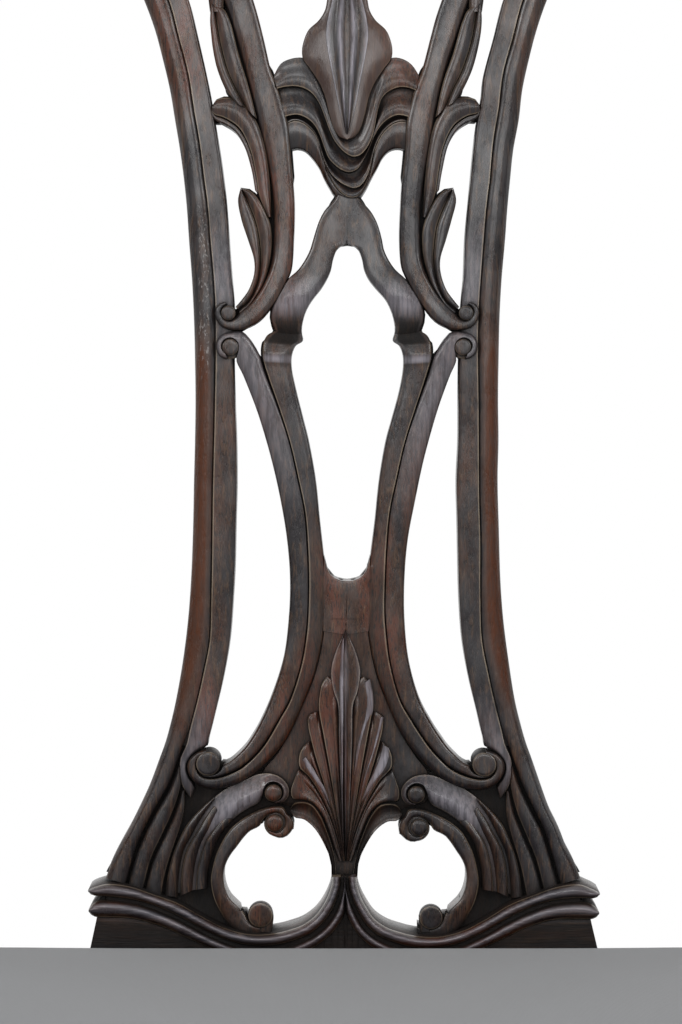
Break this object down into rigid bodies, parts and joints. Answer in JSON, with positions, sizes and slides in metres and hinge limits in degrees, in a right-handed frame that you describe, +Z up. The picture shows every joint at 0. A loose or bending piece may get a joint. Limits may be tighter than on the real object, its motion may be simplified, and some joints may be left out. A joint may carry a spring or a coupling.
{
  "type": "dining chair",
  "caption": "Mahogany dining chair with a pierced and carved back splat, serpentine crest rail, cabriole front legs and a drop-in upholstered seat that lifts out of its rails.",
  "frame": {"origin": "on the floor, under the middle of the whole chair's box", "axes": "+Z up, +X to the right as seen from in front, -Y towards the front rail"},
  "size_m": [0.568, 0.5282, 0.9788],
  "materials": {
    "mahogany": "dark stained and waxed, semi-gloss",
    "beech": "sawn and planed, unfinished",
    "screw_steel": "bright zinc",
    "jute": "coarse woven jute",
    "stuffing": "curled hair in felt",
    "grey_fabric": "fine plain weave, matt",
    "black_cloth": "thin black cambric"
  },
  "bodies": {
    "chair_frame": {"front_leg_left": "mahogany", "front_leg_right": "mahogany", "rear_leg_left": "mahogany", "rear_leg_right": "mahogany", "front_rail": "mahogany", "back_rail": "mahogany", "side_rail_left": "mahogany", "side_rail_right": "mahogany", "knee_block_front_left": "mahogany", "knee_block_front_right": "mahogany", "knee_block_side_left": "mahogany", "knee_block_side_right": "mahogany", "splat": "mahogany", "shoe": "mahogany", "crest_rail": "mahogany", "corner_block_front_left": "beech", "corner_block_front_right": "beech", "corner_block_back_left": "beech", "corner_block_back_right": "beech", "shoe_dowels": "beech", "corner_block_screws": "screw_steel"},
    "drop_in_seat": {"seat_frame_front": "beech", "seat_frame_back": "beech", "seat_frame_left": "beech", "seat_frame_right": "beech", "seat_frame_dowels": "beech", "webbing_crosswise": "jute", "webbing_lengthwise": "jute", "hessian": "jute", "seat_stuffing": "stuffing", "seat_cover": "grey_fabric", "dust_cover": "black_cloth"}
  },
  "joints": [
    {"name": "seat_lift", "type": "slide", "parent": "chair_frame", "child": "drop_in_seat", "axis": [0, 0, 1], "range_m": [0, 0.06]}
  ]
}
